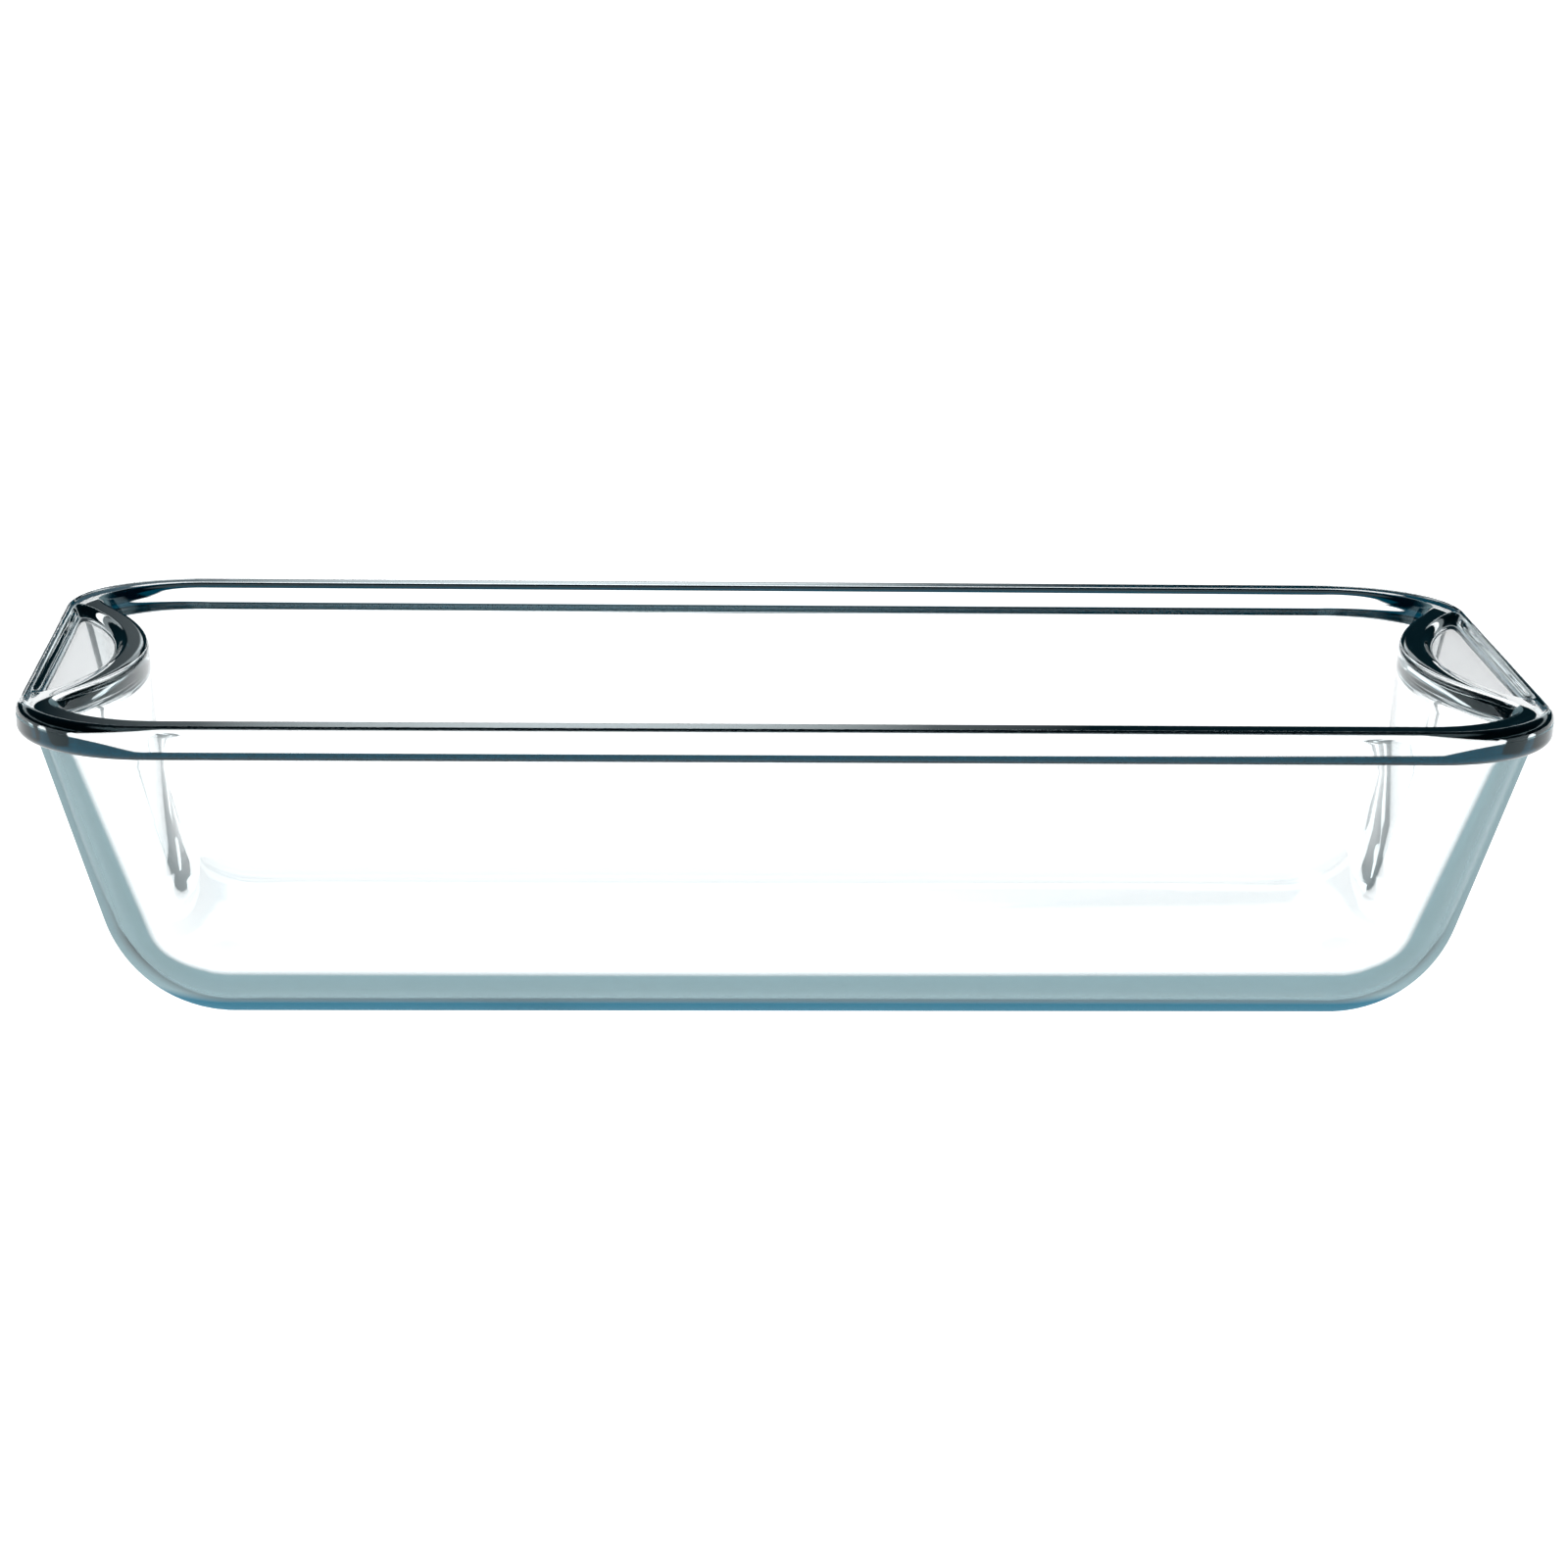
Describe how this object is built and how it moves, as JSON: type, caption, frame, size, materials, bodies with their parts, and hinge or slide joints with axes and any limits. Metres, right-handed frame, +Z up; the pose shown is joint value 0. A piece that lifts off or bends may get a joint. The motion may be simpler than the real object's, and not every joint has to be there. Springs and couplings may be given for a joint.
{
  "type": "loaf pan",
  "caption": "Clear pressed-glass loaf pan with sloping walls, a flanged rim and a half-moon handle ledge set inside the rim at each end.",
  "frame": {"origin": "centre of the underside, on the table", "axes": "+X along the pan's length, +Y across its width, +Z up"},
  "size_m": [0.31, 0.14, 0.068],
  "materials": {
    "clear_glass": "polished"
  },
  "bodies": {
    "root": {"glass_pan": "clear_glass"}
  },
  "joints": []
}
